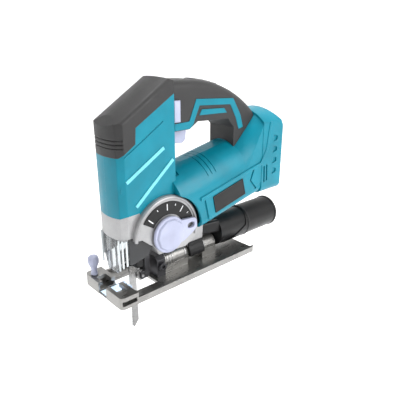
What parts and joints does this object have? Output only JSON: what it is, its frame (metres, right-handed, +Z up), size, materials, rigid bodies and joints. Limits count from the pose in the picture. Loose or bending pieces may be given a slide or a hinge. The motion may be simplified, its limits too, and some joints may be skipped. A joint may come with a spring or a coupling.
{
  "type": "jigsaw power tool",
  "caption": "Cordless jigsaw with closed handle, tilting sole, pendulum dial, blade drive, clear guard and dust pipe; battery not fitted.",
  "frame": {"origin": "underside of the sole, at the middle of its length and width", "axes": "+X to the rear (battery mount and dust pipe), +Y to the tool's right, +Z up from the sole to the handle"},
  "size_m": [0.242, 0.068, 0.2535],
  "materials": {
    "teal_plastic": "satin moulded plastic",
    "black_rubber": "matt over-moulded rubber",
    "pale_trim": "smooth paint",
    "black_plastic": "satin",
    "grey_plastic": "satin pale grey",
    "cast_alloy": "cast and painted silver",
    "plated_steel": "pressed and plated",
    "steel": "ground",
    "dark_steel": "blackened",
    "bronze": "sintered",
    "clear_plastic": "clear moulded plastic",
    "clear_blue": "clear moulded plastic, faint blue",
    "board_green": "lacquered board"
  },
  "bodies": {
    "body": {"left_housing": "teal_plastic", "right_housing": "teal_plastic", "housing_screws": "dark_steel", "front_cap": "black_rubber", "handle_grip": "black_rubber", "handle_frame_left": "teal_plastic", "handle_frame_right": "teal_plastic", "accent_stripes": "pale_trim", "side_plates": "black_plastic", "gear_housing": "cast_alloy", "gear_housing_screws": "dark_steel", "dial_scale_plate": "black_plastic", "plunger_bushes": "bronze", "gear_shaft": "steel", "rocker_pin": "steel", "motor_can": "dark_steel", "shaft_bearings": "steel", "clear_guard": "clear_plastic", "wire_guard": "steel", "saddle_strap": "black_plastic", "pivot_bracket": "cast_alloy", "dust_duct": "black_plastic", "dust_pipe": "black_plastic", "switch_body": "black_plastic", "control_board": "board_green", "terminal_block": "black_plastic", "battery_contacts": "bronze"},
    "sole": {"sole_plate": "plated_steel", "splinter_insert": "clear_blue", "bevel_tube": "plated_steel", "bevel_head": "dark_steel", "bevel_screw": "dark_steel"},
    "fence_screw": {"thumb_screw": "grey_plastic"},
    "plunger": {"plunger_rod": "steel", "blade_clamp": "dark_steel", "saw_blade": "steel"},
    "clamp_lever": {"clamp_ring": "black_plastic"},
    "crank_gear": {"large_gear": "steel", "crank_pin": "steel"},
    "crank_follower": {"crank_roller": "steel"},
    "motor_shaft": {"armature": "dark_steel", "cooling_fan": "black_plastic", "pinion": "steel"},
    "trigger": {"trigger": "grey_plastic"},
    "lock_off": {"lock_off_button": "grey_plastic"},
    "dial": {"pendulum_dial": "grey_plastic"},
    "rocker": {"pendulum_rocker": "dark_steel", "roller_pin": "steel"},
    "roller": {"guide_roller": "steel"}
  },
  "joints": [
    {"name": "sole_bevel", "type": "hinge", "parent": "body", "child": "sole", "pos_m": [0, 0, 0.015], "axis": [1, 0, 0], "range_deg": [-45, 45]},
    {"name": "fence_screw_turn", "type": "hinge", "parent": "sole", "child": "fence_screw", "pos_m": [-0.0863, 0.024, 0.02], "axis": [0, 0, 1], "range_deg": [0, 720]},
    {"name": "blade_stroke", "type": "slide", "parent": "body", "child": "plunger", "axis": [0, 0, 1], "range_m": [-0.01, 0.01]},
    {"name": "clamp_release", "type": "hinge", "parent": "plunger", "child": "clamp_lever", "pos_m": [-0.057, 0, 0.031], "axis": [0, 0, -1], "range_deg": [0, 30], "stiffness_Nm_per_rad": 0.05, "springref_deg": -28.65},
    {"name": "gear_spin", "type": "hinge", "parent": "body", "child": "crank_gear", "pos_m": [-0.043, 0, 0.0745], "axis": [1, 0, 0], "continuous": true},
    {"name": "crank_roller_spin", "type": "hinge", "parent": "crank_gear", "child": "crank_follower", "pos_m": [-0.049, 0, 0.0845], "axis": [1, 0, 0], "continuous": true},
    {"name": "motor_spin", "type": "hinge", "parent": "body", "child": "motor_shaft", "pos_m": [0, 0, 0.095], "axis": [1, 0, 0], "continuous": true},
    {"name": "trigger_pull", "type": "slide", "parent": "body", "child": "trigger", "axis": [0, 0, 1], "range_m": [0, 0.005], "stiffness_N_per_m": 1200, "springref_m": -0.003},
    {"name": "lock_off_push", "type": "slide", "parent": "body", "child": "lock_off", "axis": [0, 1, 0], "range_m": [0, 0.004], "stiffness_N_per_m": 1000, "springref_m": -0.003},
    {"name": "pendulum_select", "type": "hinge", "parent": "body", "child": "dial", "pos_m": [-0.03, -0.028, 0.056], "axis": [0, -1, 0], "range_deg": [0, 135]},
    {"name": "rocker_swing", "type": "hinge", "parent": "body", "child": "rocker", "pos_m": [-0.039, 0, 0.046], "axis": [0, -1, 0], "range_deg": [0, 3.2]},
    {"name": "guide_roller_spin", "type": "hinge", "parent": "rocker", "child": "roller", "pos_m": [-0.0478, 0, 0.0078], "axis": [0, 1, 0], "continuous": true}
  ],
  "couplings": [
    {"joint": "motor_spin", "follows": "gear_spin", "ratio": -4.6667}
  ]
}
